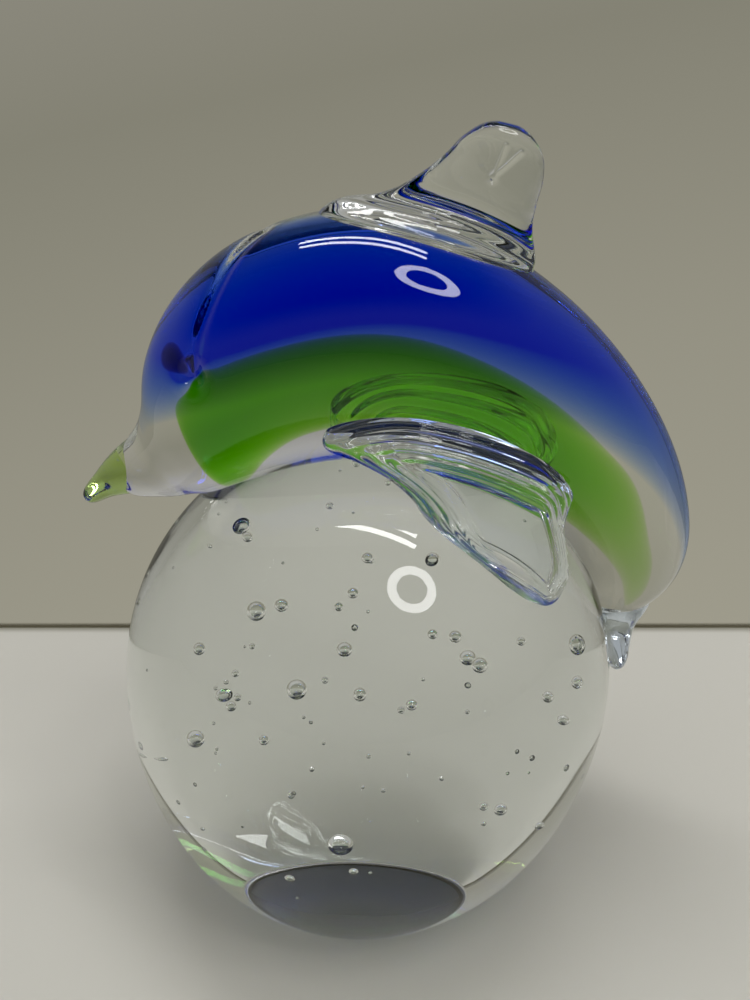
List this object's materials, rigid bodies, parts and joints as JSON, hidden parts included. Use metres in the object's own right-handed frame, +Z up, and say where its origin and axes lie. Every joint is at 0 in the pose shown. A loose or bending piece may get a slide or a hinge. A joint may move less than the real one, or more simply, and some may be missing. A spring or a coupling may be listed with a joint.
{
  "type": "crystal glass figurine",
  "caption": "Hot-worked glass dolphin with a blue back and green belly, arched over a clear glass ball full of air bubbles that stands on a ground flat foot.",
  "frame": {"origin": "middle of the ball's ground flat foot", "axes": "+Z up, +X towards the dolphin's tail, -Y towards its left side"},
  "size_m": [0.1076, 0.0896, 0.1384],
  "materials": {
    "clear_ball": "polished",
    "clear_casing": "fire polished",
    "cobalt_blue": "fire polished",
    "grass_green": "fire polished",
    "lime": "fire polished",
    "clear_fin": "fire polished",
    "smoke_clear": "fire polished",
    "eye_navy": "fire polished"
  },
  "bodies": {
    "root": {"bubble_ball": "clear_ball", "body_casing": "clear_casing", "blue_back_layer": "cobalt_blue", "green_belly_layer": "grass_green", "beak_tip": "lime", "dorsal_fin": "clear_fin", "left_flipper": "clear_fin", "right_flipper": "clear_fin", "tail_flukes": "smoke_clear", "left_eye": "eye_navy", "right_eye": "eye_navy"}
  },
  "joints": []
}
